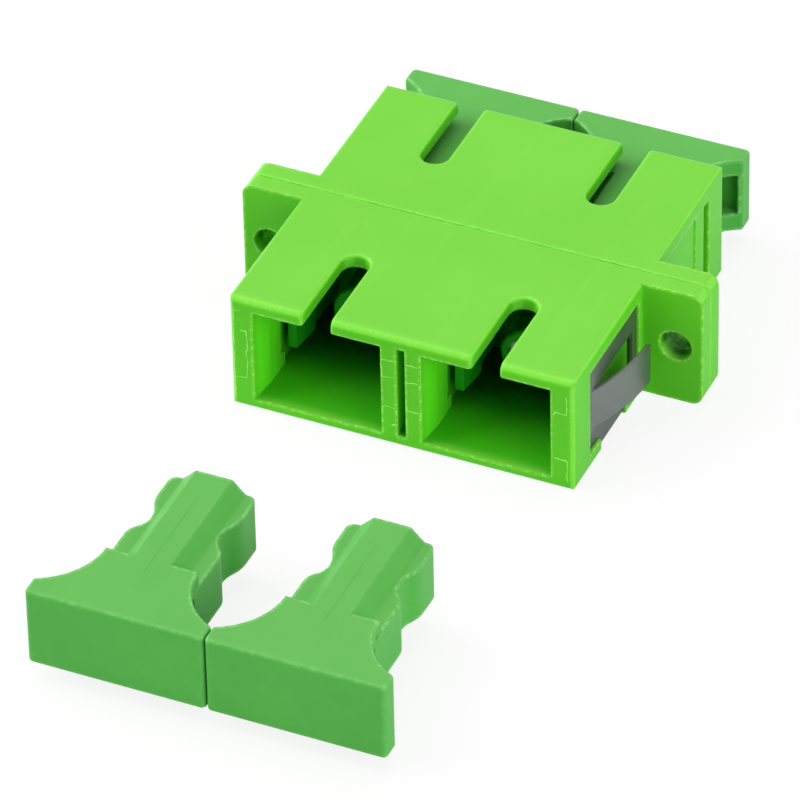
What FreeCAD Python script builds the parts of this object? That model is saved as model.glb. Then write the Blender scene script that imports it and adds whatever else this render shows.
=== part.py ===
import FreeCAD, Part
import math
import os
import re
import Sketcher
from FreeCAD import Placement, Rotation, Vector

# Duplex fibre adapter with a panel flange, a metal clip and four dust plugs. Millimetres.
# X runs along the flange and Y through the ports, the rear ports facing +Y. Z is up.
# The origin is midway between the two panel holes, on the parting plane of the housing halves.
doc = FreeCAD.newDocument("fibre_adapter")
sheet = doc.addObject("Spreadsheet::Sheet", "Sizes")

SIZES = {
    # housing halves
    "body_width": 25.9,
    "body_height": 9.35,
    "half_length": 13.65,
    "body_edge_radius": 0.3,
    "mouth_brow_radius": 0.7,
    "mouth_foot_radius": 0.3,
    "mouth_corner_radius": 0.5,
    "flange_ear": 4.525,
    "half_flange_thickness": 1.48,
    "flange_corner_radius": 0.85,
    "parting_chamfer": 0.12,
    "panel_hole_offset": 2.5,
    "panel_hole_diameter": 2.4,
    # ports
    "port_pitch": 12.7,
    "port_top": 3.63,
    "port_bottom": -3.92,
    "port_width": 9.2,
    "mouth_width": 9.7,
    "lead_in_length": 2.25,
    "chamber_width": 9.9,
    "chamber_depth": 9.0,
    "arm_notch_length": 0.6,
    "arm_notch_foot": 1.0,
    "plate_step": 0.2,
    "keyway_width": 2.1,
    "keyway_end": 5.95,
    "keyway_edge_radius": 0.3,
    "centre_slot_width": 0.65,
    "centre_slot_depth": 9.0,
    "centre_slot_margin": 0.8,
    # side recesses for the clip
    "recess_start": 2.0,
    "recess_end": 10.8,
    "recess_top": 3.5,
    "recess_bottom": -3.55,
    "front_recess_depth": 0.6,
    "rear_recess_depth": 0.2,
    "front_rib_start": 8.0,
    "rear_rib_start": 8.55,
    "front_rib_depth": 0.5,
    "rear_rib_depth": 0.1,
    "front_groove_width": 1.1,
    "rear_groove_width": 0.75,
    "groove_depth": 1.0,
    "strap_recess_depth": 0.35,
    # latch carriers
    "sleeve_axis_height": -0.35,
    "plate_thickness": 1.5,
    "plate_clearance": 0.05,
    "parting_clearance": 0.03,
    "tube_diameter": 4.2,
    "tube_end": 6.25,
    "tube_lip_length": 0.45,
    "tube_lip_diameter": 3.0,
    "tube_end_chamfer": 0.15,
    "latch_thickness": 0.6,
    "latch_height": 4.2,
    "latch_end": 8.9,
    "latch_tip_width": 0.65,
    "barb_height": 0.3,
    "barb_ramp_length": 2.0,
    "barb_flat_length": 0.6,
    # alignment sleeves
    "sleeve_bore": 2.5,
    "sleeve_diameter": 3.2,
    "sleeve_length": 11.4,
    "sleeve_slit": 0.5,
    "sleeve_clearance": 0.05,
    # metal clip
    "clip_thickness": 0.25,
    "clip_bend_radius": 0.35,
    "clip_side_gap": 0.03,
    "clip_edge_gap": 0.05,
    "clip_groove_lip": 0.35,
    "strap_start": 4.4,
    "strap_end": 8.75,
    "window_start": 2.8,
    "window_end": 9.5,
    "window_top": 1.35,
    "window_bottom": -2.1,
    "tongue_height": 3.25,
    "tongue_root": 9.95,
    "tongue_tip": 3.5,
    "tongue_reach": 1.65,
    "tongue_bow": 0.3,
    # dust plugs
    "plug_length": 16.0,
    "plug_height": 6.1,
    "plug_offset": 0.225,
    "handle_gap": 0.1,
    "handle_depth": 6.2,
    "handle_end_thickness": 1.4,
    "handle_neck_width": 6.8,
    "handle_corner_radius": 0.35,
    "handle_edge_radius": 0.2,
    "face_plate_thickness": 0.9,
    "end_wall_thickness": 0.4,
    "top_web_thickness": 1.3,
    "bottom_web_thickness": 1.4,
    "ridge_width": 5.0,
    "ridge_edge_chamfer": 1.15,
    "lobe_height": 4.1,
    "tip_width": 6.4,
    "tip_corner": 0.65,
    "tip_lobe_length": 2.2,
    "waist_width": 5.1,
    "waist_distance": 4.7,
    "base_width": 7.0,
    "base_distance": 6.9,
    "plug_tube_clearance": 0.25,
    "plug_seat_gap": 0.87,
    "latch_clearance": 0.05,
    "pulled_distance": 27.4,
}
for row, (alias, value) in enumerate(SIZES.items(), start=1):
    sheet.set(f"A{row}", alias)
    sheet.set(f"B{row}", str(value))
    sheet.setAlias(f"B{row}", alias)
doc.recompute()


def size(alias):
    """The value of one cell of the sheet."""
    return float(sheet.get(alias))


def formula(text):
    """An expression in which each alias is written as a cell of the sheet."""
    return re.sub(r"[a-z_]+", lambda word: f"Sizes.{word[0]}" if word[0] in SIZES else word[0], text)


def bind(item, **formulas):
    """Bind properties of an object to the sheet; a double underscore stands for a dot."""
    for name, text in formulas.items():
        item.setExpression(name.replace("__", "."), formula(text))


def box(name, x, y, z):
    """A box from pairs of formulas, the low and the high face along each axis."""
    item = doc.addObject("Part::Box", name)
    bind(item, Length=f"({x[1]}) - ({x[0]})", Width=f"({y[1]}) - ({y[0]})", Height=f"({z[1]}) - ({z[0]})")
    bind(item, Placement__Base__x=x[0], Placement__Base__y=y[0], Placement__Base__z=z[0])
    return item


def rod(name, diameter, x, y, z):
    """A cylinder along Y from y[0] to y[1]."""
    item = doc.addObject("Part::Cylinder", name)
    item.Placement = Placement(Vector(), Rotation(Vector(1, 0, 0), -90))
    bind(item, Radius=f"({diameter}) / 2", Height=f"({y[1]}) - ({y[0]})")
    bind(item, Placement__Base__x=x, Placement__Base__y=y[0], Placement__Base__z=z)
    return item


def fuse(name, items):
    """One solid from several that touch or overlap."""
    item = doc.addObject("Part::MultiFuse", name)
    item.Shapes = items
    item.Refine = True
    return item


def common(name, items):
    """The part that several solids share."""
    item = doc.addObject("Part::MultiCommon", name)
    item.Shapes = items
    return item


def cut(name, base, tools):
    """The base without the tools."""
    item = doc.addObject("Part::Cut", name)
    item.Base = base
    item.Tool = tools[0] if len(tools) == 1 else fuse(f"{name}_tools", tools)
    return item


def rounded(name, base, radius, wanted):
    """The base with the edges that pass the test rounded to the sheet's radius."""
    doc.recompute()
    item = doc.addObject("Part::Fillet", name)
    item.Base = base
    value = size(radius)
    item.Edges = [(n, value, value) for n, edge in enumerate(base.Shape.Edges, start=1) if wanted(edge)]
    return item


def along(axis):
    """A test for straight edges that run along one axis."""
    def test(edge):
        ends = [vertex.Point for vertex in edge.Vertexes]
        if len(ends) != 2:
            return False
        run = ends[1] - ends[0]
        return abs(abs(run.dot(axis)) - run.Length) < 1e-6
    return test


def span(sign, near, far):
    """Formulas for the low and the high face of a box that lies on one side of the middle plane."""
    return (near, far) if sign > 0 else (f"-({far})", f"-({near})")


def solid(name, shape):
    """A feature that holds a shape made from the sheet's values."""
    item = doc.addObject("Part::Feature", name)
    item.Shape = shape
    return item


def name_node(item, node, placement=Placement()):
    """Give a finished piece its name and its place."""
    item.Label = node
    item.Placement = placement
    nodes.append(item)


nodes = []
X_AXIS = Vector(1, 0, 0)
Y_AXIS = Vector(0, 1, 0)
Z_AXIS = Vector(0, 0, 1)
SIDES = {"left": -1, "right": 1}
# A piece of the front half is the same as that of the rear half, turned about Z.
TURNED = Rotation(Z_AXIS, 180)


# Housing half: shell and flange, one moulding. The halves differ only in their side recesses.
def housing_half(half, placement):
    node = f"{half}_housing"
    # The shell is what three blocks of one size share, each rounded along another axis.
    blocks = []
    for view in ("long", "side", "plan"):
        blocks.append(
            box(
                f"{node}_{view}_block",
                ("-body_width / 2", "body_width / 2"),
                ("half_flange_thickness / 2", "half_length"),
                ("-body_height / 2", "body_height / 2"),
            )
        )

    def at_mouth(edge):
        return edge.BoundBox.YMin > size("half_length") - 1e-6

    def along_brow(edge):
        return at_mouth(edge) and along(X_AXIS)(edge) and edge.BoundBox.ZMin > 0

    def along_foot(edge):
        return at_mouth(edge) and along(X_AXIS)(edge) and edge.BoundBox.ZMax < 0

    def at_corner(edge):
        return at_mouth(edge) and along(Z_AXIS)(edge)

    browed = rounded(f"{node}_brow", blocks[1], "mouth_brow_radius", along_brow)
    shell = common(
        f"{node}_shell",
        [
            rounded(f"{node}_long_edges", blocks[0], "body_edge_radius", along(Y_AXIS)),
            rounded(f"{node}_foot", browed, "mouth_foot_radius", along_foot),
            rounded(f"{node}_corners", blocks[2], "mouth_corner_radius", at_corner),
        ],
    )
    flange_block = box(
        f"{node}_flange_block",
        ("-body_width / 2 - flange_ear", "body_width / 2 + flange_ear"),
        ("0", "half_flange_thickness"),
        ("-body_height / 2", "body_height / 2"),
    )
    flange = rounded(f"{node}_flange", flange_block, "flange_corner_radius", along(Y_AXIS))
    doc.recompute()
    parting = doc.addObject("Part::Chamfer", f"{node}_parting")
    parting.Base = flange
    chamfer = size("parting_chamfer")
    parting.Edges = [
        (n, chamfer, chamfer)
        for n, edge in enumerate(flange.Shape.Edges, start=1)
        if edge.BoundBox.YMax < 1e-6
    ]
    outer = fuse(f"{node}_outer", [shell, parting])

    tools = []
    for side, sign in SIDES.items():
        middle = f"{sign} * port_pitch / 2"
        height = ("port_bottom", "port_top")
        tools.append(
            box(
                f"{node}_{side}_plate_pocket",
                (f"{middle} - chamber_width / 2", f"{middle} + chamber_width / 2"),
                ("-1", "plate_thickness + 2 * parting_clearance"),
                ("port_bottom - plate_step", "port_top + plate_step"),
            )
        )
        tools.append(
            box(
                f"{node}_{side}_chamber",
                (f"{middle} - chamber_width / 2", f"{middle} + chamber_width / 2"),
                ("-1", "chamber_depth"),
                height,
            )
        )
        # The upper part of each side wall is cut back a little further, in front of the latch arm.
        tools.append(
            box(
                f"{node}_{side}_arm_notch",
                (f"{middle} - chamber_width / 2", f"{middle} + chamber_width / 2"),
                ("chamber_depth - 0.1", "chamber_depth + arm_notch_length"),
                ("port_bottom + arm_notch_foot", "port_top"),
            )
        )
        tools.append(
            box(
                f"{node}_{side}_port",
                (f"{middle} - port_width / 2", f"{middle} + port_width / 2"),
                ("chamber_depth - 1", "half_length + 1"),
                height,
            )
        )
        lead_in = doc.addObject("Part::Wedge", f"{node}_{side}_lead_in")
        bind(lead_in, Xmin="-port_width / 2", Xmax="port_width / 2")
        bind(lead_in, X2min="-mouth_width / 2", X2max="mouth_width / 2")
        bind(lead_in, Ymin="half_length - lead_in_length", Ymax="half_length")
        bind(lead_in, Zmin="port_bottom", Zmax="port_top", Z2min="port_bottom", Z2max="port_top")
        bind(lead_in, Placement__Base__x=middle)
        tools.append(lead_in)
        tools.append(
            box(
                f"{node}_{side}_keyway",
                (f"{middle} - keyway_width / 2", f"{middle} + keyway_width / 2"),
                ("keyway_end + keyway_width / 2", "half_length + 1"),
                ("0", "body_height"),
            )
        )
        keyway_round = doc.addObject("Part::Cylinder", f"{node}_{side}_keyway_round")
        bind(keyway_round, Radius="keyway_width / 2", Height="body_height")
        bind(keyway_round, Placement__Base__x=middle, Placement__Base__y="keyway_end + keyway_width / 2")
        tools.append(keyway_round)
        tools.append(
            rod(
                f"{node}_{side}_panel_hole",
                "panel_hole_diameter",
                f"{sign} * (body_width / 2 + panel_hole_offset)",
                ("-1", "half_flange_thickness + 1"),
                "0",
            )
        )
        # The recess floor, a low rib across it and the groove behind the rib
        groove_start = f"recess_end - {half}_groove_width"
        for part, start, end, depth in (
            ("recess", "recess_start", f"{half}_rib_start", f"{half}_recess_depth"),
            ("rib", f"{half}_rib_start", groove_start, f"{half}_rib_depth"),
            ("groove", groove_start, "recess_end", "groove_depth"),
        ):
            across = span(sign, f"body_width / 2 - {depth}", "body_width / 2 + 1")
            upright_range = ("recess_bottom", "recess_top")
            tools.append(box(f"{node}_{side}_{part}", across, (start, end), upright_range))
        tools.append(
            box(
                f"{node}_{side}_strap_way",
                span(sign, f"body_width / 2 - {half}_recess_depth", "body_width / 2 + 1"),
                ("strap_start - 2 * clip_edge_gap", "strap_end + 2 * clip_edge_gap"),
                ("-body_height", "recess_bottom + 0.01"),
            )
        )
    tools.append(
        box(
            f"{node}_strap_recess",
            ("-body_width", "body_width"),
            ("strap_start - 2 * clip_edge_gap", "strap_end + 2 * clip_edge_gap"),
            ("-body_height", "strap_recess_depth - body_height / 2"),
        )
    )
    tools.append(
        box(
            f"{node}_centre_slot",
            ("-centre_slot_width / 2", "centre_slot_width / 2"),
            ("half_length - centre_slot_depth", "half_length + 1"),
            ("centre_slot_margin - body_height / 2", "body_height / 2 - centre_slot_margin - 0.15"),
        )
    )
    moulding = cut(f"{node}_moulding", outer, tools)

    def along_keyway(edge):
        middle = edge.BoundBox.Center
        if middle.z < size("port_top") + 0.01 or middle.y < size("keyway_end") - 1e-6:
            return False
        if along(Z_AXIS)(edge) and not at_mouth(edge):
            return False
        across = abs(abs(middle.x) - size("port_pitch") / 2)
        return across < size("keyway_width") / 2 + 1e-6

    name_node(rounded(f"{node}_keyed", moulding, "keyway_edge_radius", along_keyway), node, placement)


housing_half("rear", Placement())
housing_half("front", Placement(Vector(), TURNED))


# Latch carrier: base plate, sleeve tube and two latch arms with barbs
def latch_carrier(node, placement):
    plate = box(
        f"{node}_plate",
        ("plate_clearance - chamber_width / 2", "chamber_width / 2 - plate_clearance"),
        ("parting_clearance", "parting_clearance + plate_thickness"),
        ("port_bottom - plate_step + plate_clearance", "port_top + plate_step - plate_clearance"),
    )
    along_tube = ("plate_thickness / 2", "tube_end")
    tube_body = rod(f"{node}_tube_rod", "tube_diameter", "0", along_tube, "sleeve_axis_height")
    doc.recompute()
    tube = doc.addObject("Part::Chamfer", f"{node}_tube")
    tube.Base = tube_body
    chamfer = size("tube_end_chamfer")
    tube.Edges = [
        (n, chamfer, chamfer)
        for n, edge in enumerate(tube_body.Shape.Edges, start=1)
        if edge.BoundBox.YMin > size("tube_end") - 1e-6
    ]
    # The barbs leave just enough room for a plug's tip to pass.
    crest = size("tip_width") / 2 + size("plug_offset") + size("latch_clearance")
    inner = crest + size("barb_height")
    outer = inner + size("latch_thickness")
    end = size("latch_end")
    ramp_end = end - size("barb_ramp_length")
    flat_end = ramp_end - size("barb_flat_length")
    low = size("sleeve_axis_height") - size("latch_height") / 2
    outline = [
        (inner, size("plate_thickness") / 2),
        (outer, size("plate_thickness") / 2),
        (outer, end),
        (outer - size("latch_tip_width"), end),
        (crest, ramp_end),
        (crest, flat_end),
        (inner, flat_end - size("barb_height")),
    ]
    pieces = [plate, tube]
    for side, sign in SIDES.items():
        corners = [Vector(sign * x, y, low) for x, y in outline]
        face = Part.Face(Part.makePolygon(corners + corners[:1]))
        pieces.append(solid(f"{node}_{side}_arm", face.extrude(Vector(0, 0, size("latch_height")))))
    blank = fuse(f"{node}_blank", pieces)
    sleeve_room = rod(
        f"{node}_sleeve_room",
        "sleeve_diameter + 2 * sleeve_clearance",
        "0",
        ("-1", "tube_end - tube_lip_length"),
        "sleeve_axis_height",
    )
    lip = rod(f"{node}_lip", "tube_lip_diameter", "0", ("0", "tube_end + 1"), "sleeve_axis_height")
    name_node(cut(f"{node}_moulding", blank, [sleeve_room, lip]), node, placement)


for side, sign in SIDES.items():
    middle = Vector(sign * size("port_pitch") / 2, 0, 0)
    latch_carrier(f"rear_{side}_latch_carrier", Placement(middle, Rotation()))
    latch_carrier(f"front_{side}_latch_carrier", Placement(middle, TURNED))


# Alignment sleeve: ceramic tube slit along its top
def plane_of(body, role):
    """One of the origin planes of a body."""
    return next(item for item in body.Origin.OriginFeatures if item.Role == role)


def sketch_on(body, role, name):
    """A sketch on one of the origin planes of a body."""
    sketch = body.newObject("Sketcher::SketchObject", name)
    sketch.AttachmentSupport = (plane_of(body, role), "")
    sketch.MapMode = "FlatFace"
    return sketch


def dimension(sketch, name, kind, *where):
    """A dimension of a sketch that follows one cell of the sheet."""
    index = sketch.addConstraint(Sketcher.Constraint(kind, *where, size(name)))
    sketch.renameConstraint(index, name)
    sketch.setExpression(f"Constraints.{name}", formula(name))


def alignment_sleeve(node, placement):
    body = doc.addObject("PartDesign::Body", f"{node}_body")
    ring = sketch_on(body, "XZ_Plane", f"{node}_ring")
    for number, alias in enumerate(("sleeve_diameter", "sleeve_bore")):
        ring.addGeometry(Part.Circle(Vector(), Z_AXIS, size(alias) / 2), False)
        ring.addConstraint(Sketcher.Constraint("Coincident", number, 3, -1, 1))
        dimension(ring, alias, "Diameter", number)
    tube = body.newObject("PartDesign::Pad", f"{node}_tube")
    tube.Profile = ring
    tube.Midplane = True
    bind(tube, Length="sleeve_length")
    doc.recompute()
    whole = body.Shape.Volume

    gap = sketch_on(body, "XY_Plane", f"{node}_gap")
    half_width = size("sleeve_slit") / 2
    half_length = size("sleeve_length") / 2
    corners = [
        Vector(-half_width, -half_length, 0),
        Vector(half_width, -half_length, 0),
        Vector(half_width, half_length, 0),
        Vector(-half_width, half_length, 0),
    ]
    gap.addGeometry([Part.LineSegment(corners[n], corners[(n + 1) % 4]) for n in range(4)], False)
    for n in range(4):
        gap.addConstraint(Sketcher.Constraint("Coincident", n, 2, (n + 1) % 4, 1))
    for n, kind in enumerate(("Horizontal", "Vertical", "Horizontal", "Vertical")):
        gap.addConstraint(Sketcher.Constraint(kind, n))
    gap.addConstraint(Sketcher.Constraint("Symmetric", 0, 1, 2, 1, -1, 1))
    dimension(gap, "sleeve_slit", "DistanceX", 0, 1, 0, 2)
    dimension(gap, "sleeve_length", "DistanceY", 1, 1, 1, 2)
    slit = body.newObject("PartDesign::Pocket", f"{node}_slit")
    slit.Profile = gap
    slit.Type = "ThroughAll"
    slit.Reversed = True
    doc.recompute()
    if body.Shape.Volume > 0.97 * whole:
        raise RuntimeError("the slit of the sleeve cuts nothing")
    name_node(body, node, placement)


for side, sign in SIDES.items():
    middle = Vector(sign * size("port_pitch") / 2, 0, size("sleeve_axis_height"))
    alignment_sleeve(f"{side}_alignment_sleeve", Placement(middle, Rotation()))


# Metal clip: one strip bent round three sides of the front half, with a sprung tongue cut out of each side
inner_half = "(body_width / 2 - front_rib_depth + clip_side_gap)"
outer_half = f"({inner_half} + clip_thickness)"
strap_top = "(strap_recess_depth - clip_side_gap - body_height / 2)"
strip_top = "(recess_top - clip_edge_gap)"
strip_foot = "(recess_bottom + clip_edge_gap)"
strip_start = "(recess_start + clip_edge_gap)"
strip_end = "(recess_end - clip_edge_gap)"


def low_edge_along_y(edge):
    return along(Y_AXIS)(edge) and edge.BoundBox.ZMax < 0


bent_outside = rounded(
    "clip_outside",
    box(
        "clip_outside_box",
        (f"-{outer_half}", outer_half),
        (strip_start, strip_end),
        (f"{strap_top} - clip_thickness", strip_top),
    ),
    "clip_bend_radius",
    low_edge_along_y,
)
inside = box(
    "clip_inside_box",
    (f"-{inner_half}", inner_half),
    (f"{strip_start} - 1", f"{strip_end} + 1"),
    (strap_top, "body_height"),
)
below_rear = box(
    "clip_below_rear",
    ("-body_width", "body_width"),
    (f"{strip_start} - 1", "strap_start"),
    ("-body_height", strip_foot),
)
below_front = box(
    "clip_below_front",
    ("-body_width", "body_width"),
    ("strap_end", f"{strip_end} + 1"),
    ("-body_height", strip_foot),
)
window = box(
    "clip_window",
    ("-body_width", "body_width"),
    ("window_start", "window_end"),
    ("window_bottom", "window_top"),
)
strip = cut("clip_strip", bent_outside, [inside, below_rear, below_front, window])
clip_pieces = [strip]
for side, sign in SIDES.items():
    # The strip's leading edge is folded into the groove of the housing.
    across = span(sign, f"{inner_half} - clip_groove_lip", outer_half)
    edge_range = (f"{strip_end} - clip_thickness", strip_end)
    clip_pieces.append(box(f"clip_{side}_fold", across, edge_range, (strip_foot, strip_top)))
    face = size("body_width") / 2 - size("front_rib_depth") + size("clip_side_gap")
    root = Vector(sign * face, size("tongue_root"), 0)
    tip = Vector(sign * (face + size("tongue_reach")), size("tongue_tip"), 0)
    bow = (root + tip) / 2 + Vector(sign * size("tongue_bow"), 0, 0)
    step = Vector(sign * size("clip_thickness"), 0, 0)
    rim = Part.Wire(
        [
            Part.Arc(root, bow, tip).toShape(),
            Part.makeLine(tip, tip + step),
            Part.Arc(tip + step, bow + step, root + step).toShape(),
            Part.makeLine(root + step, root),
        ]
    )
    tongue = Part.Face(rim).extrude(Vector(0, 0, size("tongue_height")))
    tongue.translate(Vector(0, 0, (size("window_top") + size("window_bottom") - size("tongue_height")) / 2))
    clip_pieces.append(solid(f"clip_{side}_tongue", tongue))
name_node(fuse("clip_moulding", clip_pieces), "retaining_clip", Placement(Vector(), TURNED))


# Dust plug: lobed peg that passes between the latch arms, and a waisted handle with open wings
# Side by side, the handles all but touch, so each plug sits a little outside the middle of its port.
plug_place = size("port_pitch") / 2 + size("plug_offset")
tip_place = size("parting_clearance") + size("plate_thickness") + size("plug_seat_gap")


def s_curve(start, end):
    """Two equal arcs from start to end, both ends running along Y."""
    reach = (end.x - start.x) / 2
    rise = (end.y - start.y) / 2
    radius = (reach * reach + rise * rise) / (2 * abs(reach))
    turn = math.asin(rise / radius) / 2
    sign = math.copysign(1, reach)
    near = start + Vector(sign * radius * (1 - math.cos(turn)), radius * math.sin(turn), 0)
    middle = (start + end) / 2
    far = end - Vector(sign * radius * (1 - math.cos(turn)), radius * math.sin(turn), 0)
    return [Part.Arc(start, near, middle).toShape(), Part.Arc(middle, far, end).toShape()]


def mirrored_face(edges):
    """A face bounded by edges on the +X side, their mirror images and straight ends."""
    half = Part.Wire(Part.__sortEdges__(edges))
    other = half.mirror(Vector(), X_AXIS)
    ends = [vertex.Point for vertex in half.OrderedVertexes]
    closing = [Part.makeLine(point, Vector(-point.x, point.y, 0)) for point in (ends[0], ends[-1])]
    return Part.Face(Part.Wire(Part.__sortEdges__(half.Edges + other.Edges + closing)))


def upright(face, low, high):
    """A prism on a face, from one height to another."""
    prism = face.extrude(Vector(0, 0, high - low))
    prism.translate(Vector(0, 0, low))
    return prism


def round_corner(centre, radius, start, end):
    """An arc about a centre between two angles in degrees."""
    angles = [math.radians(a) for a in (start, (start + end) / 2, end)]
    points = [centre + Vector(radius * math.cos(a), radius * math.sin(a), 0) for a in angles]
    return Part.Arc(*points).toShape()


def dust_plug():
    length = size("plug_length")
    top = size("plug_height") / 2
    neck = length - size("handle_depth")
    tip_half = size("tip_width") / 2
    waist_half = size("waist_width") / 2
    base_half = size("base_width") / 2
    corner = size("tip_corner")
    lobe_end = Vector(tip_half, size("tip_lobe_length"), 0)
    waist = Vector(waist_half, size("waist_distance"), 0)
    base = Vector(base_half, size("base_distance"), 0)
    lobes = mirrored_face(
        [
            round_corner(Vector(tip_half - corner, corner, 0), corner, -90, 0),
            Part.makeLine(Vector(tip_half, corner, 0), lobe_end),
            *s_curve(lobe_end, waist),
            *s_curve(waist, base),
            Part.makeLine(base, Vector(base_half, neck + 1, 0)),
        ]
    )
    peg = upright(lobes, -size("lobe_height") / 2, size("lobe_height") / 2)

    ridge = Part.makeBox(size("ridge_width"), neck + 1, 2 * top, Vector(-size("ridge_width") / 2, 0, -top))
    long_edges = [edge for edge in ridge.Edges if along(Y_AXIS)(edge)]
    ridge = ridge.makeChamfer(size("ridge_edge_chamfer"), long_edges)

    half = plug_place - size("handle_gap") / 2
    neck_half = size("handle_neck_width") / 2
    wing_end = length - size("handle_end_thickness")
    rise = wing_end - neck
    reach = half - neck_half
    radius = (reach * reach + rise * rise) / (2 * reach)
    turn = math.asin(rise / radius)
    centre = Vector(neck_half + radius, neck, 0)
    sweep = [centre + Vector(-radius * math.cos(a), radius * math.sin(a), 0) for a in (0, turn / 2, turn)]
    corner = size("handle_corner_radius")
    outline = mirrored_face(
        [
            Part.Arc(*sweep).toShape(),
            Part.makeLine(Vector(half, wing_end, 0), Vector(half, length - corner, 0)),
            round_corner(Vector(half - corner, length - corner, 0), corner, 0, 90),
        ]
    )
    handle = upright(outline, -top, top)
    rims = [
        edge
        for edge in handle.Edges
        if edge.BoundBox.ZLength < 1e-6 and edge.BoundBox.YMin > wing_end - 1e-6
    ]
    handle = handle.makeFillet(size("handle_edge_radius"), rims)
    pocket_low = size("bottom_web_thickness") - top
    pocket_high = top - size("top_web_thickness")
    pocket_end = length - size("face_plate_thickness")
    for sign in SIDES.values():
        low_x = neck_half if sign > 0 else size("end_wall_thickness") - half
        pocket = Part.makeBox(
            half - size("end_wall_thickness") - neck_half,
            pocket_end - neck + 1,
            pocket_high - pocket_low,
            Vector(low_x, neck - 1, pocket_low),
        )
        handle = handle.cut(pocket)

    # The hollow goes over the sleeve tube of a latch carrier.
    hollow_depth = size("tube_end") - tip_place + size("latch_clearance")
    hollow = Part.makeCylinder(
        size("tube_diameter") / 2 + size("plug_tube_clearance"), hollow_depth + 1, Vector(0, -1, 0), Y_AXIS
    )
    return peg.fuse([ridge, handle]).cut(hollow).removeSplitter()


for side, sign in SIDES.items():
    seated = Vector(sign * plug_place, tip_place, size("sleeve_axis_height"))
    pulled = Vector(sign * plug_place, -tip_place - size("pulled_distance"), size("sleeve_axis_height"))
    rear_plug = solid(f"rear_{side}_plug_moulding", dust_plug())
    name_node(rear_plug, f"rear_{side}_dust_plug", Placement(seated, Rotation()))
    front_plug = solid(f"front_{side}_plug_moulding", dust_plug())
    name_node(front_plug, f"front_{side}_dust_plug", Placement(pulled, TURNED))

doc.recompute()
for item in doc.Objects:
    if "Invalid" in item.State or "Error" in item.State:
        raise RuntimeError(f"{item.Name} did not compute")
for item in nodes:
    if item.Shape.isNull() or not item.Shape.isValid():
        raise RuntimeError(f"{item.Label} has no valid shape")
os.makedirs("parts", exist_ok=True)
for item in nodes:
    item.Shape.exportStep(f"parts/{item.Label}.step")
    print(item.Label, len(item.Shape.Solids), round(item.Shape.Volume, 3), item.Shape.BoundBox)
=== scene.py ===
import bpy
import math
import random
from mathutils import Matrix, Vector


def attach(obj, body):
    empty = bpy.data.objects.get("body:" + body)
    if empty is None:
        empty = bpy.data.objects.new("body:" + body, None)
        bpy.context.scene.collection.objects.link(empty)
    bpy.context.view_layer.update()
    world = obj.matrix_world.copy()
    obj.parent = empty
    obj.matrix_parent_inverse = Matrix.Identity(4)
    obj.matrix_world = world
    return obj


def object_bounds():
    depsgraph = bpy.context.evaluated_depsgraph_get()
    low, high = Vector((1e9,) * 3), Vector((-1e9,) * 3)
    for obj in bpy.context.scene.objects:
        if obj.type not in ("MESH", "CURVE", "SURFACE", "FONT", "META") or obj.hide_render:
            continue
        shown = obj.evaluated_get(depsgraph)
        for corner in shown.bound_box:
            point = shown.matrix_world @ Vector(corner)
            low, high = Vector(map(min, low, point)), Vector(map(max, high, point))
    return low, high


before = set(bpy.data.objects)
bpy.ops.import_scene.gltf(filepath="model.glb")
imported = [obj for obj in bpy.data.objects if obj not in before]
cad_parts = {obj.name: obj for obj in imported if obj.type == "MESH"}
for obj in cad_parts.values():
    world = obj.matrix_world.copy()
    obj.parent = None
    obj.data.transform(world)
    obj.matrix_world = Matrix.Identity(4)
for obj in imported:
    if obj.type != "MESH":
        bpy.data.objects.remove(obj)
cad_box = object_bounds()


# Housing halves
# Two shells of bright green polyester, injection moulded with a satin shine, each with two
# connector ports and half of the flange. The halves are welded together along the flange.
HOUSING_GREEN = (0.108, 0.57, 0.016, 1)
HOUSING_PALE = (0.29, 0.85, 0.09, 1)
HOUSING_DEEP = (0.094, 0.54, 0.012, 1)
# Paler colour for the faces that look up, a painted highlight of the light from above.
HOUSING_TOP_LIT = (0.30, 0.60, 0.11, 1)
# Inside the ports: a lighter green for the walls as painted light, a dark green for the floors and the deep
# parts as painted shade.
PORT_LIT_GREEN = (0.11, 0.74, 0.016, 1)
PORT_SHADE = (0.008, 0.19, 0.003, 1)


def feed(tree, socket, value):
    """Give an input a link or a plain value."""
    if isinstance(value, bpy.types.NodeSocket):
        tree.links.new(value, socket)
    else:
        socket.default_value = value


def add(tree, kind, settings=None, **inputs):
    """A node with its settings and its input values or links."""
    node = tree.nodes.new("ShaderNode" + kind)
    for name, value in (settings or {}).items():
        setattr(node, name, value)
    for name, value in inputs.items():
        feed(tree, node.inputs[name.replace("_", " ")], value)
    return node


def effect(name, inputs, outputs):
    """An empty node group with named sockets; returns the group, its input node and its output node."""
    group = bpy.data.node_groups.new(name, "ShaderNodeTree")
    for label, kind, value in inputs:
        socket = group.interface.new_socket(label, in_out="INPUT", socket_type="NodeSocket" + kind)
        socket.default_value = value
    for label, kind in outputs:
        group.interface.new_socket(label, in_out="OUTPUT", socket_type="NodeSocket" + kind)
    return group, group.nodes.new("NodeGroupInput"), group.nodes.new("NodeGroupOutput")


def place(tree, group, **inputs):
    """One use of an effect in a material, with that material's own values."""
    node = tree.nodes.new("ShaderNodeGroup")
    node.node_tree = group
    for name, value in inputs.items():
        feed(tree, node.inputs[name.replace("_", " ")], value)
    return node


def band(tree, value, low, high):
    """A value turned into a mask that is 0 at low and 1 at high."""
    smooth = {"interpolation_type": "SMOOTHSTEP"}
    return add(tree, "MapRange", smooth, Value=value, From_Min=low, From_Max=high).outputs["Result"]


def spread(tree, value, low, high):
    """A value between 0 and 1 turned into one between low and high."""
    return add(tree, "MapRange", Value=value, To_Min=low, To_Max=high).outputs["Result"]


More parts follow.
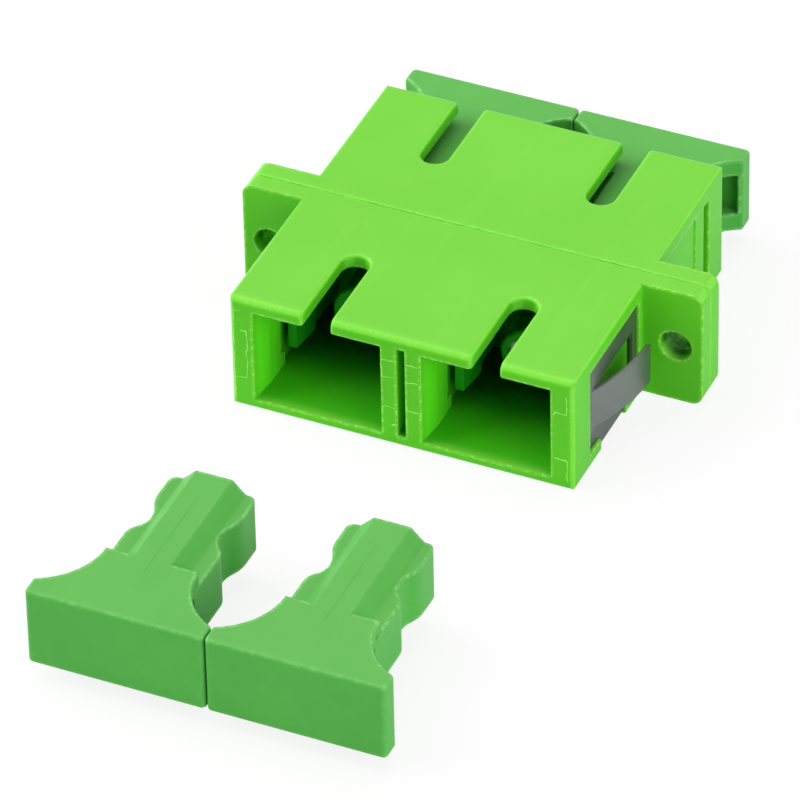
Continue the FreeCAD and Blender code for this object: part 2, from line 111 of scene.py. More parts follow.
def blend_colours(tree, factor, first, second):
    """Two colours mixed by a factor."""
    node = add(tree, "Mix", {"data_type": "RGBA"})
    for number, value in ((0, factor), (6, first), (7, second)):
        feed(tree, node.inputs[number], value)
    return node.outputs[2]


def calculate(tree, operation, first, second=0.0):
    """A sum on one or two values."""
    node = add(tree, "Math", {"operation": operation})
    feed(tree, node.inputs[0], first)
    feed(tree, node.inputs[1], second)
    return node.outputs[0]


def noise(tree, where, size, detail, roughness=0.5):
    """Noise with patches of the given size in metres."""
    scale = calculate(tree, "DIVIDE", 1.0, size)
    node = add(tree, "TexNoise", Vector=where, Scale=scale, Detail=detail, Roughness=roughness)
    return node.outputs["Fac"]


CLOUD_LIMITS = (0.3, 0.7)
FLOW_STRETCH = (1.0, 0.09, 1.0)
FLOW_FINENESS = 900.0
FLOW_LIMITS = (0.52, 0.72)

# Moulded skin: slow clouds where the pigment mixed unevenly, faint flow lines that run
# away from the gate, and the fine grain that a spark-eroded mould leaves.
moulded_skin, given, result = effect(
    "moulded_skin",
    [("Cloud size", "Float", 0.012), ("Grain size", "Float", 0.0002)],
    [("Clouds", "Float"), ("Flow lines", "Float"), ("Grain", "Float")],
)
place_on_part = add(moulded_skin, "TexCoord").outputs["Object"]
clouds = noise(moulded_skin, place_on_part, given.outputs["Cloud size"], 3.0, 0.55)
moulded_skin.links.new(band(moulded_skin, clouds, *CLOUD_LIMITS), result.inputs["Clouds"])
stretched = add(moulded_skin, "Mapping", Vector=place_on_part, Scale=FLOW_STRETCH)
lines = add(
    moulded_skin, "TexNoise", Vector=stretched.outputs[0], Scale=FLOW_FINENESS, Detail=4.0, Roughness=0.6
)
flow_lines = band(moulded_skin, lines.outputs["Fac"], *FLOW_LIMITS)
moulded_skin.links.new(flow_lines, result.inputs["Flow lines"])
grain = noise(moulded_skin, place_on_part, given.outputs["Grain size"], 2.0)
moulded_skin.links.new(grain, result.inputs["Grain"])

CORNER_LIMITS = (0.04, 0.36)
EDGE_PATCH_LIMITS = (0.42, 0.6)

# Convex edges: a mask along the corners that stand out, found by how soon a ray inside the piece
# meets another face, broken up by noise, and the normal of such a corner as if it were rounded.
convex_edges, given, result = effect(
    "convex_edges",
    [("Width", "Float", 0.00012), ("Patch size", "Float", 0.0004), ("Evenness", "Float", 0.4)],
    [("Mask", "Float"), ("Normal", "Vector")],
)
rounding = add(convex_edges, "Bevel", {"samples": 6}, Radius=given.outputs["Width"])
thinness = add(
    convex_edges,
    "AmbientOcclusion",
    {"samples": 8, "inside": True, "only_local": True},
    Distance=given.outputs["Width"],
)
near_corner = calculate(convex_edges, "SUBTRACT", 1.0, thinness.outputs["AO"])
where = add(convex_edges, "TexCoord").outputs["Object"]
patches = noise(convex_edges, where, given.outputs["Patch size"], 3.0)
pale_spots = band(convex_edges, patches, *EDGE_PATCH_LIMITS)
broken = calculate(convex_edges, "MAXIMUM", pale_spots, given.outputs["Evenness"])
edge_mask = calculate(convex_edges, "MULTIPLY", band(convex_edges, near_corner, *CORNER_LIMITS), broken)
convex_edges.links.new(edge_mask, result.inputs["Mask"])
convex_edges.links.new(rounding.outputs[0], result.inputs["Normal"])

ROUND_PATCH_LIMITS = (0.45, 0.62)
OFF_AXIS_LIMITS = (0.02, 0.16)

# Rounds wear and highlight: a mask on the rounded edges of a square moulding, which are the places
# where the surface faces along none of the three axes, broken up into patches. It paints them paler,
# partly as rubbing and partly as a painted highlight.
rounds_wear_and_highlight, given, result = effect(
    "rounds_wear_and_highlight",
    [("Patch size", "Float", 0.0003), ("Evenness", "Float", 0.75)],
    [("Mask", "Float")],
)
coordinates = add(rounds_wear_and_highlight, "TexCoord")
split = add(rounds_wear_and_highlight, "SeparateXYZ", Vector=coordinates.outputs["Normal"])
squareness = 0.0
for component in split.outputs:
    along_axis = calculate(rounds_wear_and_highlight, "ABSOLUTE", component)
    squareness = calculate(rounds_wear_and_highlight, "MAXIMUM", squareness, along_axis)
patches = noise(rounds_wear_and_highlight, coordinates.outputs["Object"], given.outputs["Patch size"], 3.0)
pale_spots = band(rounds_wear_and_highlight, patches, *ROUND_PATCH_LIMITS)
broken = calculate(rounds_wear_and_highlight, "MAXIMUM", pale_spots, given.outputs["Evenness"])
off_square = calculate(rounds_wear_and_highlight, "SUBTRACT", 1.0, squareness)
off_axis = band(rounds_wear_and_highlight, off_square, *OFF_AXIS_LIMITS)
rounds_wear_and_highlight.links.new(calculate(rounds_wear_and_highlight, "MULTIPLY", off_axis, broken), result.inputs["Mask"])

UPWARD_LIMITS = (0.3, 1.0)
UPWARD_UNEVENNESS = (0.85, 1.15)

# Upward painted light: a mask on the faces that look up. Outside, it paints them paler, as painted
# light from above; inside a port, it paints the floor darker, as painted shade under the roof.
upward_painted_light, given, result = effect(
    "upward_painted_light", [("Amount", "Float", 0.33), ("Patch size", "Float", 0.004)], [("Mask", "Float")]
)
coordinates = add(upward_painted_light, "TexCoord")
height = add(upward_painted_light, "SeparateXYZ", Vector=coordinates.outputs["Normal"]).outputs["Z"]
patches = noise(upward_painted_light, coordinates.outputs["Object"], given.outputs["Patch size"], 2.0)
evened = spread(upward_painted_light, patches, *UPWARD_UNEVENNESS)
upward_patches = calculate(upward_painted_light, "MULTIPLY", band(upward_painted_light, height, *UPWARD_LIMITS), evened)
upward_share = calculate(upward_painted_light, "MULTIPLY", upward_patches, given.outputs["Amount"])
upward_painted_light.links.new(upward_share, result.inputs["Mask"])

# Port depth: a mask that grows from a port's mouth to its bottom, inside the walls and below
# the roof, so that the walls of the keyways stay out of it.
port_depth, given, result = effect(
    "port_depth",
    [
        ("Half width", "Float", 0.0117),
        ("Half height", "Float", 0.0041),
        ("Middle height", "Float", -0.0004),
        ("Start", "Float", 0.0136),
        ("End", "Float", 0.0075),
    ],
    [("Mask", "Float")],
)
spot = add(port_depth, "SeparateXYZ", Vector=add(port_depth, "TexCoord").outputs["Object"])
from_side = calculate(port_depth, "ABSOLUTE", spot.outputs["X"])
within_width = calculate(port_depth, "LESS_THAN", from_side, given.outputs["Half width"])
above_middle = calculate(port_depth, "SUBTRACT", spot.outputs["Z"], given.outputs["Middle height"])
from_middle = calculate(port_depth, "ABSOLUTE", above_middle)
within_height = calculate(port_depth, "LESS_THAN", from_middle, given.outputs["Half height"])
within = calculate(port_depth, "MULTIPLY", within_width, within_height)
from_flange = calculate(port_depth, "ABSOLUTE", spot.outputs["Y"])
inward = band(port_depth, from_flange, given.outputs["Start"], given.outputs["End"])
port_depth.links.new(calculate(port_depth, "MULTIPLY", inward, within), result.inputs["Mask"])

# Hole depth: a mask that grows from the faces of the flange to the middle of its two holes.
hole_depth, given, result = effect(
    "hole_depth",
    [("Half spacing", "Float", 0.01545), ("Radius", "Float", 0.00124), ("Start", "Float", 0.00115)],
    [("Mask", "Float")],
)
spot = add(hole_depth, "SeparateXYZ", Vector=add(hole_depth, "TexCoord").outputs["Object"])
from_side = calculate(hole_depth, "ABSOLUTE", spot.outputs["X"])
aside = calculate(hole_depth, "SUBTRACT", from_side, given.outputs["Half spacing"])
squares = [calculate(hole_depth, "MULTIPLY", reach, reach) for reach in (aside, spot.outputs["Z"])]
from_axis = calculate(hole_depth, "SQRT", calculate(hole_depth, "ADD", *squares))
in_hole = calculate(hole_depth, "LESS_THAN", from_axis, given.outputs["Radius"])
from_parting = calculate(hole_depth, "ABSOLUTE", spot.outputs["Y"])
half_way = calculate(hole_depth, "MULTIPLY", given.outputs["Start"], 0.5)
inward = band(hole_depth, from_parting, given.outputs["Start"], half_way)
hole_depth.links.new(calculate(hole_depth, "MULTIPLY", inward, in_hole), result.inputs["Mask"])

SCRATCH_DIRECTIONS = ((0.5, 0.035), (-0.9, 0.05))
SCRATCH_FINENESS = 2600.0
SCRATCH_LIMITS = (0.7, 0.76)
SPECK_FINENESS = 420.0
SPECK_LIMITS = (0.03, 0.07)
SPECK_CHOICE = (0.86, 0.88)

# Handling marks: short fine scratches in two directions and small pale specks.
handling_marks, given, result = effect(
    "handling_marks",
    [("Scratches", "Float", 0.3), ("Specks", "Float", 0.3)],
    [("Scratch mask", "Float"), ("Speck mask", "Float")],
)
place_on_part = add(handling_marks, "TexCoord").outputs["Object"]
scratch_sets = []
for angle, length_share in SCRATCH_DIRECTIONS:
    laid = add(
        handling_marks,
        "Mapping",
        Vector=place_on_part,
        Rotation=(0.2, 0.3, angle),
        Scale=(1.0, length_share, 1.0),
    )
    streaks = add(handling_marks, "TexNoise", Vector=laid.outputs[0], Scale=SCRATCH_FINENESS, Detail=1.0)
    scratch_sets.append(band(handling_marks, streaks.outputs["Fac"], *SCRATCH_LIMITS))
scratches = calculate(handling_marks, "MAXIMUM", *scratch_sets)
scratched = calculate(handling_marks, "MULTIPLY", scratches, given.outputs["Scratches"])
handling_marks.links.new(scratched, result.inputs["Scratch mask"])
cells = add(handling_marks, "TexVoronoi", Vector=place_on_part, Scale=SPECK_FINENESS)
past_point = band(handling_marks, cells.outputs["Distance"], *SPECK_LIMITS)
near_point = calculate(handling_marks, "SUBTRACT", 1.0, past_point)
chosen = add(handling_marks, "SeparateColor", Color=cells.outputs["Color"])
few = band(handling_marks, chosen.outputs[0], *SPECK_CHOICE)
specks = calculate(handling_marks, "MULTIPLY", near_point, few)
specked = calculate(handling_marks, "MULTIPLY", specks, given.outputs["Specks"])
handling_marks.links.new(specked, result.inputs["Speck mask"])


FLOW_LINE_SHARE = 0.04
PORT_ENTRY = {"Start": 0.0136, "End": 0.0126}
PORT_SHADOW = {"Start": 0.0108, "End": 0.0062}
PORT_FLOOR_SHADE = 0.42
SATIN_BELOW = 0.04
SATIN_ABOVE = 0.05
SCRATCH_DULLING = 0.25
SCRATCH_DEPTH = 2.0
SKIN_BUMP_STRENGTH = 0.25
SKIN_BUMP_HEIGHT = 0.00001


def new_material(name):
    """A material with nodes; returns it, its node tree and its shader."""
    material = bpy.data.materials.new(name)
    material.use_nodes = True
    return material, material.node_tree, material.node_tree.nodes["Principled BSDF"]


def moulded_plastic(
    name,
    colours,
    roughness,
    edge_wear_and_highlight,
    shine=0.2,
    edge_width=0.00012,
    cloud_size=0.012,
    marks=0.3,
    round_wear_and_highlight=0.0,
    top_lit=None,
    ports=None,
):
    """A moulded plastic from its plain, pale and deep colours."""
    plain, pale, deep = colours
    material, tree, shader = new_material(name)
    shader.inputs["Specular IOR Level"].default_value = shine
    skin = place(tree, moulded_skin, Cloud_size=cloud_size)
    edges = place(tree, convex_edges, Width=edge_width)
    round_pale = place(tree, rounds_wear_and_highlight)
    handled = place(tree, handling_marks, Scratches=marks, Specks=marks)
    clouded = blend_colours(tree, skin.outputs["Clouds"], deep, plain)
    flow = calculate(tree, "MULTIPLY", skin.outputs["Flow lines"], FLOW_LINE_SHARE)
    flowed = blend_colours(tree, flow, clouded, pale)
    # Faces that look up are painted paler, as painted light from above.
    if top_lit:
        flowed = blend_colours(tree, place(tree, upward_painted_light).outputs["Mask"], flowed, top_lit)
    # Inside the ports the walls are painted lighter as painted light, and the floors, the deep parts and
    # the insides of the flange holes darker as painted shade.
    if ports:
        inside = place(tree, port_depth, **PORT_ENTRY).outputs["Mask"]
        deep_inside = place(tree, port_depth, **PORT_SHADOW).outputs["Mask"]
        on_floor = place(tree, upward_painted_light, Amount=PORT_FLOOR_SHADE).outputs["Mask"]
        flowed = blend_colours(tree, inside, flowed, blend_colours(tree, on_floor, *ports))
        flowed = blend_colours(tree, deep_inside, flowed, ports[1])
        flowed = blend_colours(tree, place(tree, hole_depth).outputs["Mask"], flowed, ports[1])
    # Pale corners and rounds: partly wear, partly a painted highlight on the rounded edges.
    sharp_edge_pale = calculate(tree, "MULTIPLY", edges.outputs["Mask"], edge_wear_and_highlight)
    round_pale_share = calculate(tree, "MULTIPLY", round_pale.outputs["Mask"], round_wear_and_highlight)
    pale_cornered = blend_colours(tree, calculate(tree, "MAXIMUM", sharp_edge_pale, round_pale_share), flowed, pale)
    marked = blend_colours(tree, handled.outputs["Speck mask"], pale_cornered, pale)
    tree.links.new(marked, shader.inputs["Base Color"])
    satin = spread(tree, skin.outputs["Clouds"], roughness - SATIN_BELOW, roughness + SATIN_ABOVE)
    dulling = calculate(tree, "MULTIPLY", handled.outputs["Scratch mask"], SCRATCH_DULLING)
    tree.links.new(calculate(tree, "ADD", satin, dulling), shader.inputs["Roughness"])
    scratched = calculate(tree, "MULTIPLY", handled.outputs["Scratch mask"], -SCRATCH_DEPTH)
    relief = calculate(tree, "ADD", skin.outputs["Grain"], scratched)
    bump = add(tree, "Bump", Height=relief, Normal=edges.outputs["Normal"])
    feed(tree, bump.inputs["Strength"], SKIN_BUMP_STRENGTH)
    feed(tree, bump.inputs["Distance"], SKIN_BUMP_HEIGHT)
    tree.links.new(bump.outputs[0], shader.inputs["Normal"])
    return material


def dress(node, material):
    """Give a CAD node's object its material."""
    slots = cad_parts[node].data.materials
    slots.clear()
    slots.append(material)


housing_plastic = moulded_plastic(
    "housing_plastic",
    (HOUSING_GREEN, HOUSING_PALE, HOUSING_DEEP),
    roughness=0.33,
    edge_wear_and_highlight=1.0,
    shine=0.14,
    edge_width=0.00028,
    round_wear_and_highlight=0.55,
    top_lit=HOUSING_TOP_LIT,
    ports=(PORT_LIT_GREEN, PORT_SHADE),
)
for half in ("front", "rear"):
    dress(f"{half}_housing", housing_plastic)


# Mould lines of the port mouths
# The end faces of the port walls carry the fine raised lines where the inserts of the mould
# met. They are part of the moulding, a few hundredths of a millimetre high.
MM = 0.001
MOUTH_PLANE = -13.65
MOUTH_CORNER = 0.5
FLAT_HALF_WIDTH = 12.45
LINE_WIDTH = 0.1
LINE_HEIGHT = 0.03
RIDGE_STEP = 0.2
RIDGE_WIDTHS = (0.5, 1.35)
RIDGE_DRIFTS = (-0.3, 0.3)
RIDGE_HEIGHTS = (0.6, 1.2)
RIDGE_FOOT = 0.5
MOUTH_LINES = (
    ((-12.60, 3.53), (-12.64, 1.1), (-12.66, -0.9), (-12.64, -2.2)),
    ((-12.60, 3.53), (-12.10, 3.60)),
    ((-12.10, 1.90), (-11.68, 1.93)),
    ((-11.68, 1.93), (-11.58, 0.93), (-11.70, 0.1), (-11.63, -0.86), (-11.71, -2.11)),
    ((-12.62, -2.22), (-11.71, -2.11)),
    ((-12.62, -2.22), (-12.64, -4.02)),
    ((-1.44, 2.55), (-0.54, 2.61)),
    ((-1.41, 1.11), (-0.44, 1.15)),
    ((-1.44, 2.55), (-1.46, 1.9), (-1.41, 1.11)),
    ((-1.44, -1.60), (-1.20, -1.46), (-0.43, -1.44)),
    ((-1.44, -2.83), (-1.38, -2.75)),
    ((-0.75, -2.95), (-0.49, -2.92)),
    ((0.42, 2.60), (0.80, 2.62), (1.30, 2.56)),
    ((0.42, 1.06), (1.25, 1.15)),
    ((0.42, -1.44), (1.27, -1.40)),
    ((0.40, -0.80), (0.44, -1.44)),
    ((11.42, 1.55), (11.56, 1.84), (12.38, 1.80)),
    ((12.38, 3.35), (12.40, 2.6), (12.38, 1.80)),
    ((11.50, -2.14), (12.40, -2.20)),
    ((12.40, -2.20), (12.44, -3.1), (12.38, -4.05)),
)


def on_mouth(x, z):
    """A point on the end face of a housing half, which is rounded towards its sides, and its normal."""
    past_flat = math.copysign(max(0.0, abs(x) - FLAT_HALF_WIDTH), x)
    rise = math.sqrt(MOUTH_CORNER ** 2 - past_flat ** 2)
    point = Vector((x, MOUTH_PLANE + MOUTH_CORNER - rise, z)) * MM
    return point, Vector((past_flat, -rise, 0)).normalized()


def ridge_line(vertices, faces, path, width, height, draw):
    """Adds a low ridge of uneven width and height along a path of points and surface normals."""
    points = []
    for (start, start_normal), (end, end_normal) in zip(path, path[1:]):
        steps = max(2, int((end - start).length / (RIDGE_STEP * MM)))
        for n in range(steps):
            points.append((start.lerp(end, n / steps), start_normal.lerp(end_normal, n / steps)))
    points.append(path[-1])
    first = len(vertices)
    for n, (point, normal) in enumerate(points):
        ahead = points[min(n + 1, len(points) - 1)][0] - points[max(n - 1, 0)][0]
        side = ahead.cross(normal).normalized()
        half = width / 2 * draw.uniform(*RIDGE_WIDTHS)
        drift = side * width * draw.uniform(*RIDGE_DRIFTS)
        crest = normal * height * draw.uniform(*RIDGE_HEIGHTS)
        foot = -normal * height * RIDGE_FOOT
        middle = point + drift
        vertices += [middle - side * half + foot, middle + crest, middle + side * half + foot]
    for n in range(len(points) - 1):
        a = first + 3 * n
        for i, j in ((0, 1), (1, 2), (2, 0)):
            faces.append((a + i, a + j, a + j + 3, a + i + 3))
    faces.append((first, first + 2, first + 1))
    last = first + 3 * (len(points) - 1)
    faces.append((last, last + 1, last + 2))


def mesh_piece(name, vertices, faces, material, body):
    """A piece made from vertices and faces, which moves with a body."""
    mesh = bpy.data.meshes.new(name)
    mesh.from_pydata([tuple(v) for v in vertices], [], faces)
    mesh.validate()
    mesh.materials.append(material)
    piece = bpy.data.objects.new(name, mesh)
    bpy.context.scene.collection.objects.link(piece)
    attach(piece, body)


FLASH_GREEN = (0.50, 0.92, 0.22, 1)
FLASH_PALE = (0.62, 0.95, 0.36, 1)
FLASH_DEEP = (0.22, 0.74, 0.06, 1)
flash_plastic = moulded_plastic(
    "flash_plastic",
    (FLASH_GREEN, FLASH_PALE, FLASH_DEEP),
    roughness=0.4,
    edge_wear_and_highlight=0.0,
    edge_width=0.000002,
    cloud_size=0.0012,
)
for half, turn, seed in (("front", 0.0, 11), ("rear", math.pi, 12)):
    draw = random.Random(seed)
    vertices, faces = [], []
    about_z = Matrix.Rotation(turn, 3, "Z")
    for line in MOUTH_LINES:
        path = [(about_z @ point, about_z @ normal) for point, normal in (on_mouth(x, z) for x, z in line)]
        ridge_line(vertices, faces, path, LINE_WIDTH * MM, LINE_HEIGHT * MM, draw)
    mesh_piece(f"{half}_mould_lines", vertices, faces, flash_plastic, "adapter")


# Weld flash
# Where the two halves were welded, a thin uneven bead of melted plastic stands in the groove
# round the flange, here and there a little wider.
FLANGE_HALF_WIDTH = 17.475
FLANGE_HALF_HEIGHT = 4.675
FLANGE_CORNER = 0.85
FLASH_DEPTH = 0.07
CORNER_STEPS = 4
BEAD_STEP = 0.22
BEAD_SIDES = 5
BEAD_RADIUS = 0.012
BEAD_SWELL = 0.045
BEAD_THINNEST = 0.004
BEAD_THICKEST = 0.05
BEAD_STRETCH = 1.5
BEAD_SHIFT = 0.02
SWELL_KEPT = 0.8
SWELL_CHANGE = 0.2


def rounded_loop(half_width, half_height, corner, inset):
    """Points round a rectangle with rounded corners, set in by a little."""
    points = []
    for across, up, start in ((1, 1, 0), (-1, 1, 90), (-1, -1, 180), (1, -1, 270)):
        centre = Vector((across * (half_width - corner), 0, up * (half_height - corner)))
        for step in range(CORNER_STEPS + 1):
            angle = math.radians(start + 90 / CORNER_STEPS * step)
            reach = corner - inset
            points.append(centre + Vector((math.cos(angle) * reach, 0, math.sin(angle) * reach)))
    return points


loop = rounded_loop(FLANGE_HALF_WIDTH, FLANGE_HALF_HEIGHT, FLANGE_CORNER, FLASH_DEPTH)
draw = random.Random(7)
vertices, faces = [], []
ring = []
for start, end in zip(loop, loop[1:] + loop[:1]):
    steps = max(1, int((end - start).length / BEAD_STEP))
    ring += [start.lerp(end, n / steps) for n in range(steps)]
swell = 0.0
for point in ring:
    swell = SWELL_KEPT * swell + draw.uniform(-SWELL_CHANGE, SWELL_CHANGE)
    radius = max(BEAD_THINNEST, min(BEAD_THICKEST, BEAD_RADIUS + BEAD_SWELL * swell))
    if abs(point.z) > FLANGE_HALF_HEIGHT - FLANGE_CORNER:
        outward = Vector((0, 0, math.copysign(1, point.z)))
    else:
        outward = Vector((math.copysign(1, point.x), 0, 0))
    shift = draw.uniform(-BEAD_SHIFT, BEAD_SHIFT)
    for corner in range(BEAD_SIDES):
        angle = 2 * math.pi * corner / BEAD_SIDES
        along = math.sin(angle) * radius * BEAD_STRETCH + shift
        offset = outward * math.cos(angle) * radius + Vector((0, along, 0))
        vertices.append((point + offset) * MM)
for n in range(len(ring)):
    for corner in range(BEAD_SIDES):
        a = BEAD_SIDES * n + corner
        b = BEAD_SIDES * n + (corner + 1) % BEAD_SIDES
        faces.append((a, b, (b + BEAD_SIDES) % len(vertices), (a + BEAD_SIDES) % len(vertices)))
WELD_GREEN = (0.12, 0.52, 0.02, 1)
WELD_DEEP = (0.065, 0.39, 0.010, 1)
weld_plastic = moulded_plastic(
    "weld_plastic",
    (WELD_GREEN, FLASH_GREEN, WELD_DEEP),
    roughness=0.4,
    edge_wear_and_highlight=0.0,
    edge_width=0.000002,
    cloud_size=0.001,
)
mesh_piece("weld_flash", vertices, faces, weld_plastic, "adapter")


# Latch carriers
# One plain moulding for each port, in the green of the housing: a base plate, the tube for
# the sleeve and two springy arms with barbs that hold the connector. Deep inside the ports
# their colour is painted much darker than the housing, as painted shade.
# A much darker green, painted shade deep inside the ports.
CARRIER_SHADED_GREEN = (0.018, 0.37, 0.010, 1)
CARRIER_SHADED_PALE = (0.05, 0.50, 0.03, 1)
CARRIER_SHADED_DEEP = (0.012, 0.32, 0.007, 1)
carrier_plastic = moulded_plastic(
    "carrier_plastic", (CARRIER_SHADED_GREEN, CARRIER_SHADED_PALE, CARRIER_SHADED_DEEP), roughness=0.42, edge_wear_and_highlight=0.3, marks=0.1
)
for half in ("front", "rear"):
    for side in ("left", "right"):
        dress(f"{half}_{side}_latch_carrier", carrier_plastic)


# Alignment sleeves
# Slit tubes of zirconia, ground and polished to a cream white. They float in the tubes of
# the carriers and line up the two ferrules.
SLEEVE_CREAM = (0.80, 0.78, 0.70, 1)
SLEEVE_WHITE = (0.90, 0.89, 0.84, 1)
SLEEVE_POLISH = (0.12, 0.22)
sleeve_ceramic, tree, shader = new_material("sleeve_ceramic")
skin = place(tree, moulded_skin, Cloud_size=0.003, Grain_size=0.00005)
edges = place(tree, convex_edges, Width=0.00008)
clouded = blend_colours(tree, skin.outputs["Clouds"], SLEEVE_CREAM, SLEEVE_WHITE)
tree.links.new(clouded, shader.inputs["Base Color"])
tree.links.new(spread(tree, skin.outputs["Grain"], *SLEEVE_POLISH), shader.inputs["Roughness"])
tree.links.new(edges.outputs["Normal"], shader.inputs["Normal"])
for side in ("left", "right"):
    dress(f"{side}_alignment_sleeve", sleeve_ceramic)


# Retaining clip
# A strip of rolled spring steel, stamped and bent round three sides of the front half. Its two
# tongues spring out behind a panel. The stamped edges are darker, and the strip below the
# tongues, near the bend, is painted darker as painted shade.
STEEL = (0.195, 0.215, 0.205, 1)
STEEL_LIGHT = (0.204, 0.225, 0.214, 1)
STEEL_EDGE = (0.075, 0.055, 0.04, 1)
STEEL_TONGUE_SHADE = (0.10, 0.117, 0.107, 1)
EDGE_DARKNESS = 0.7
TONGUE_SHADE_DARKNESS = 0.85
TONGUE_SHADE_TOP = (-0.00235, -0.00215)
STEEL_METALNESS = 0.85
STEEL_SATIN = (0.31, 0.39)
ROLLING_STRETCH = (1.0, 0.05, 1.0)
ROLLING_FINENESS = 7000.0
ROLLING_LIMITS = (0.35, 0.65)
ROLLING_BUMP_STRENGTH = 0.08
ROLLING_BUMP_HEIGHT = 0.000002
clip_steel, tree, shader = new_material("clip_steel")
shader.inputs["Metallic"].default_value = STEEL_METALNESS
coordinates = add(tree, "TexCoord").outputs["Object"]
rolled = add(tree, "Mapping", Vector=coordinates, Scale=ROLLING_STRETCH)
rolling = add(tree, "TexNoise", Vector=rolled.outputs[0], Scale=ROLLING_FINENESS, Detail=2.0, Roughness=0.5)
skin = place(tree, moulded_skin, Cloud_size=0.004)
edges = place(tree, convex_edges, Width=0.00006, Evenness=0.85)
handled = place(tree, handling_marks, Scratches=0.25)
rolled_streaks = band(tree, rolling.outputs["Fac"], *ROLLING_LIMITS)
rolled_colour = blend_colours(tree, rolled_streaks, STEEL, STEEL_LIGHT)
stamped = calculate(tree, "MULTIPLY", edges.outputs["Mask"], EDGE_DARKNESS)
edge_colour = blend_colours(tree, stamped, rolled_colour, STEEL_EDGE)
# The strip below the tongues is painted darker, as painted shade.
height = add(tree, "SeparateXYZ", Vector=coordinates).outputs["Z"]
below_tongue = calculate(tree, "SUBTRACT", 1.0, band(tree, height, *TONGUE_SHADE_TOP))
shaded = calculate(tree, "MULTIPLY", below_tongue, TONGUE_SHADE_DARKNESS)
tongue_shaded_colour = blend_colours(tree, shaded, edge_colour, STEEL_TONGUE_SHADE)
scratched_colour = blend_colours(tree, handled.outputs["Scratch mask"], tongue_shaded_colour, STEEL_LIGHT)
tree.links.new(scratched_colour, shader.inputs["Base Color"])
tree.links.new(spread(tree, skin.outputs["Clouds"], *STEEL_SATIN), shader.inputs["Roughness"])
bump = add(tree, "Bump", Height=rolling.outputs["Fac"], Normal=edges.outputs["Normal"])
feed(tree, bump.inputs["Strength"], ROLLING_BUMP_STRENGTH)
feed(tree, bump.inputs["Distance"], ROLLING_BUMP_HEIGHT)
tree.links.new(bump.outputs[0], shader.inputs["Normal"])
dress("retaining_clip", clip_steel)


# Dust plugs
# Four soft satin mouldings in a duller, bluer green. Two are seated in the rear ports and
# two lie in front. The two halves of their mould leave a fine line along the ridge.
PLUG_GREEN = (0.084, 0.415, 0.063, 1)
PLUG_PALE = (0.25, 0.70, 0.20, 1)
PLUG_DEEP = (0.074, 0.39, 0.056, 1)
# Paler colour for the top faces, a painted highlight of the light from above.
PLUG_TOP_LIT = (0.18, 0.42, 0.12, 1)
PLUG_AXIS_HEIGHT = -0.35
PLUG_HALF_HEIGHT = 3.05
PLUG_PLACE = 6.575
PLUG_TIPS = {"front": (-29.8, -1), "rear": (2.4, 1)}
SEAM_START = 2.5
SEAM_END = 11.2
SEAM_WIDTH = 0.06
SEAM_HEIGHT = 0.022
SEAM_SEED = 30
plug_plastic = moulded_plastic(
    "plug_plastic",
    (PLUG_GREEN, PLUG_PALE, PLUG_DEEP),
    roughness=0.42,
    edge_wear_and_highlight=0.85,
    shine=0.13,
    edge_width=0.00032,
    cloud_size=0.008,
    marks=0.35,
    top_lit=PLUG_TOP_LIT,
)
seam_plastic = moulded_plastic(
    "seam_plastic",
    (PLUG_GREEN, PLUG_PALE, PLUG_DEEP),
    roughness=0.42,
    edge_wear_and_highlight=0.0,
    edge_width=0.000002,
    top_lit=PLUG_TOP_LIT,
)
for half, (tip, way) in PLUG_TIPS.items():
    for number, (side, sign) in enumerate((("left", -1), ("right", 1))):
        node = f"{half}_{side}_dust_plug"
        dress(node, plug_plastic)
        draw = random.Random(SEAM_SEED + number + 2 * way)
        vertices, faces = [], []
        x = sign * PLUG_PLACE
        for up in (1, -1):
            z = PLUG_AXIS_HEIGHT + up * PLUG_HALF_HEIGHT
            outward = Vector((0, 0, up))
            path = [(Vector((x, tip + way * y, z)) * MM, outward) for y in (SEAM_START, SEAM_END)]
            ridge_line(vertices, faces, path, SEAM_WIDTH * MM, SEAM_HEIGHT * MM, draw)
        mesh_piece(f"{half}_{side}_plug_seam", vertices, faces, seam_plastic, f"{half}_{side}_plug")


# Studio
# A flat white floor under the part and large soft lights, as for a catalogue picture: one above and
# a little behind, a wide one at the left and a smaller one at the front right.
FLOOR_WHITE = (0.9, 0.9, 0.9, 1)
FLOOR_SATIN = 0.9
FLOOR_REACH = 3.0
FLOOR_GAP = 0.00002
FLOOR_GLOW = 0.86
FLOOR_MIRROR_GLOW = 0.35
WORLD_FILL = 0.01
AIM = Vector((0, -0.012, 0))
floor_mesh = bpy.data.meshes.new("studio_floor")
floor_height = cad_box[0].z - FLOOR_GAP
corner_signs = ((-1, -1), (1, -1), (1, 1), (-1, 1))
floor_corners = [(FLOOR_REACH * x, FLOOR_REACH * y, floor_height) for x, y in corner_signs]
floor_mesh.from_pydata(floor_corners, [], [(0, 1, 2, 3)])
floor = bpy.data.objects.new("studio_floor", floor_mesh)
bpy.context.scene.collection.objects.link(floor)
floor_paper, tree, shader = new_material("floor_paper")
shader.inputs["Base Color"].default_value = FLOOR_WHITE
shader.inputs["Roughness"].default_value = FLOOR_SATIN
path = add(tree, "LightPath")
seen = calculate(tree, "MAXIMUM", path.outputs["Is Camera Ray"], path.outputs["Is Transmission Ray"])
mirrored = calculate(tree, "MULTIPLY", path.outputs["Is Glossy Ray"], FLOOR_MIRROR_GLOW)
glow = add(tree, "Emission", Color=(1, 1, 1, 1), Strength=1.0)
share = calculate(tree, "MAXIMUM", calculate(tree, "MULTIPLY", seen, FLOOR_GLOW), mirrored)
mixed = add(tree, "MixShader", Fac=share)
tree.links.new(shader.outputs[0], mixed.inputs[1])
tree.links.new(glow.outputs[0], mixed.inputs[2])
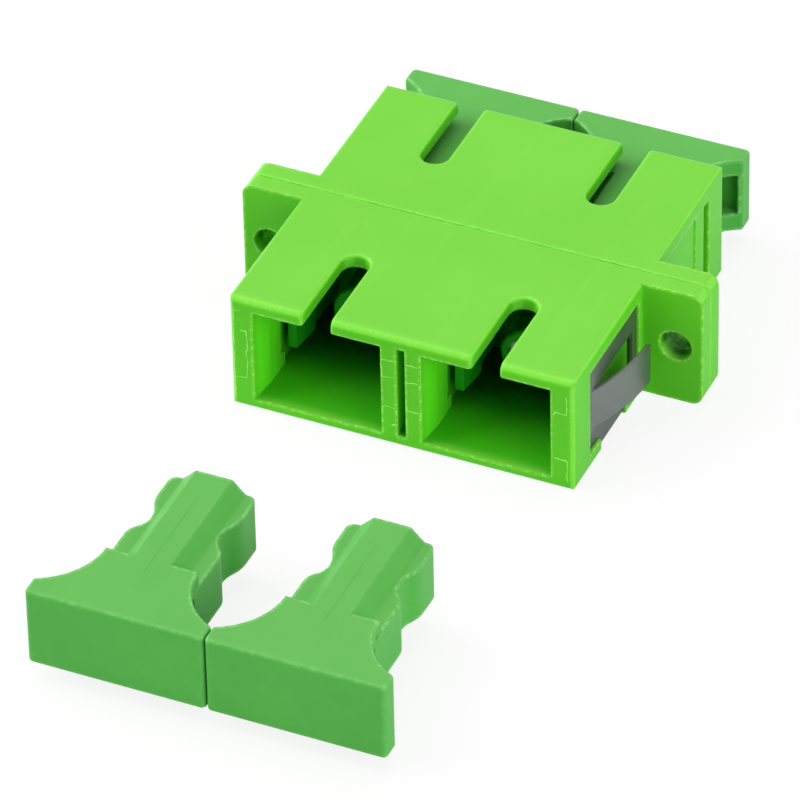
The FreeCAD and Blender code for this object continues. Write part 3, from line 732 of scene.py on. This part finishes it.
tree.links.new(mixed.outputs[0], tree.nodes["Material Output"].inputs["Surface"])
floor_mesh.materials.append(floor_paper)

world = bpy.data.worlds.new("studio")
bpy.context.scene.world = world
world.use_nodes = True
tree = world.node_tree
tree.nodes["Background"].inputs["Color"].default_value = (1, 1, 1, 1)
tree.nodes["Background"].inputs["Strength"].default_value = WORLD_FILL
path = add(tree, "LightPath")
seen = calculate(tree, "MAXIMUM", path.outputs["Is Camera Ray"], path.outputs["Is Glossy Ray"])
seen = calculate(tree, "MAXIMUM", seen, path.outputs["Is Transmission Ray"])
backdrop = add(tree, "Background", Color=(1, 1, 1, 1), Strength=1.0)
mixed = add(tree, "MixShader", Fac=seen)
tree.links.new(tree.nodes["Background"].outputs[0], mixed.inputs[1])
tree.links.new(backdrop.outputs[0], mixed.inputs[2])
tree.links.new(mixed.outputs[0], tree.nodes["World Output"].inputs["Surface"])


def softbox(name, where, size, power):
    """A square area light that faces the middle of the part."""
    light = bpy.data.lights.new(name, "AREA")
    light.shape = "SQUARE"
    light.size = size
    light.energy = power
    lamp = bpy.data.objects.new(name, light)
    lamp.location = where
    lamp.rotation_mode = "QUATERNION"
    lamp.rotation_quaternion = (AIM - lamp.location).to_track_quat("-Z", "Y")
    bpy.context.scene.collection.objects.link(lamp)


softbox("top_light", Vector((-0.05, 0.08, 0.42)), 0.50, 1.6)
softbox("left_light", Vector((-0.46, -0.115, 0.22)), 0.60, 3.6)
softbox("right_light", Vector((0.46, -0.19, 0.20)), 0.42, 2.15)

# The camera stands in front, to the right and above, far away behind a long lens.
AZIMUTH = 24.619
ELEVATION = 38.097
ROLL = -1.2803
DISTANCE = 559.678
ASIDE = (5.5629, 8.2370)
FOCAL_PIXELS = 7986.98
FRAME_PIXELS = 800
azimuth, elevation, roll = (math.radians(a) for a in (AZIMUTH, ELEVATION, ROLL))
back = Vector(
    (math.sin(azimuth) * math.cos(elevation), -math.cos(azimuth) * math.cos(elevation), math.sin(elevation))
)
level_right = Vector((math.cos(azimuth), math.sin(azimuth), 0))
level_up = back.cross(level_right)
right = level_right * math.cos(roll) + level_up * math.sin(roll)
up = level_up * math.cos(roll) - level_right * math.sin(roll)
camera_data = bpy.data.cameras.new("camera")
camera_data.sensor_width = 36.0
camera_data.lens = FOCAL_PIXELS / FRAME_PIXELS * camera_data.sensor_width
camera_data.clip_start = 0.01
camera_data.clip_end = 20.0
camera = bpy.data.objects.new("camera", camera_data)
bpy.context.scene.collection.objects.link(camera)
turn = Matrix((right, up, back)).transposed().to_4x4()
stand = (right * -ASIDE[0] + up * -ASIDE[1] + back * DISTANCE) * MM
camera.matrix_world = Matrix.Translation(stand) @ turn
bpy.context.scene.camera = camera
bpy.context.scene.view_settings.view_transform = "Standard"
